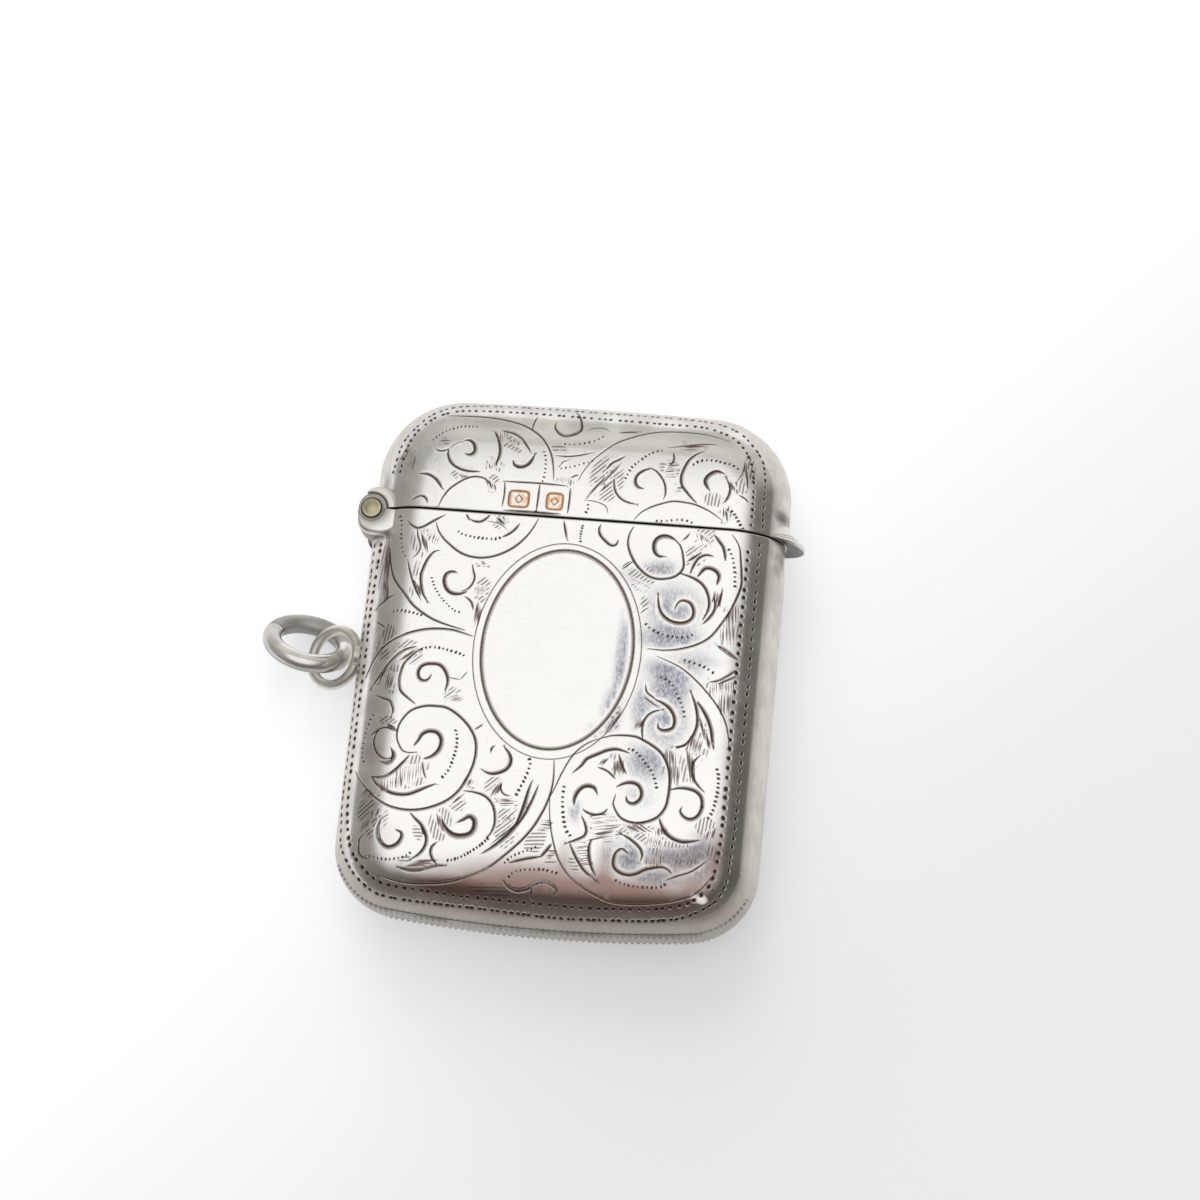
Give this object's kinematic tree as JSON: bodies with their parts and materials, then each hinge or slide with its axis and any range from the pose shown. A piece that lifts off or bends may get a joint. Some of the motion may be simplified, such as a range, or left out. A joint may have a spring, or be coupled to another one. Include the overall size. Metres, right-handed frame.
{
  "type": "vesta case",
  "caption": "Flat pressed-silver pocket match case with rolled edges, a side-hinged lid with a thumb lip, a ribbed striker round the base and a ring on a fixed loop.",
  "frame": {"origin": "centre of the flat back, on the table plane", "axes": "+X across the face away from the hinge, +Y from the base towards the lid, +Z out of the engraved front"},
  "size_m": [0.0451, 0.0452, 0.0096],
  "materials": {
    "silver": "polished, lightly worn",
    "gilt": "satin",
    "striker": "cut, satin",
    "brass": "satin",
    "steel": "satin",
    "ring_silver": "tarnished, semi-gloss"
  },
  "bodies": {
    "case": {"body_front_shell": "silver", "body_back_shell": "silver", "mouth_collar": "gilt", "striker_band": "striker", "hinge_lug_front": "silver", "hinge_lug_back": "silver", "hinge_pin": "brass", "leaf_spring": "steel", "spring_pad": "silver", "spring_rivet": "brass", "loop_foot": "silver", "ring_loop": "silver"},
    "lid": {"lid_front_shell": "silver", "lid_back_shell": "silver", "lid_knuckle": "silver", "thumbpiece": "silver"},
    "ring": {"suspension_ring": "ring_silver"}
  },
  "joints": [
    {"name": "lid_hinge", "type": "hinge", "parent": "case", "child": "lid", "pos_m": [-0.0173, 0.0116, 0.0048], "axis": [0, 0, 1], "range_deg": [0, 95]},
    {"name": "ring_swing", "type": "hinge", "parent": "case", "child": "ring", "pos_m": [-0.02173, 0.00129, 0.00296], "axis": [-0.5678, -0.7658, -0.3019], "range_deg": [-15, 100]}
  ]
}
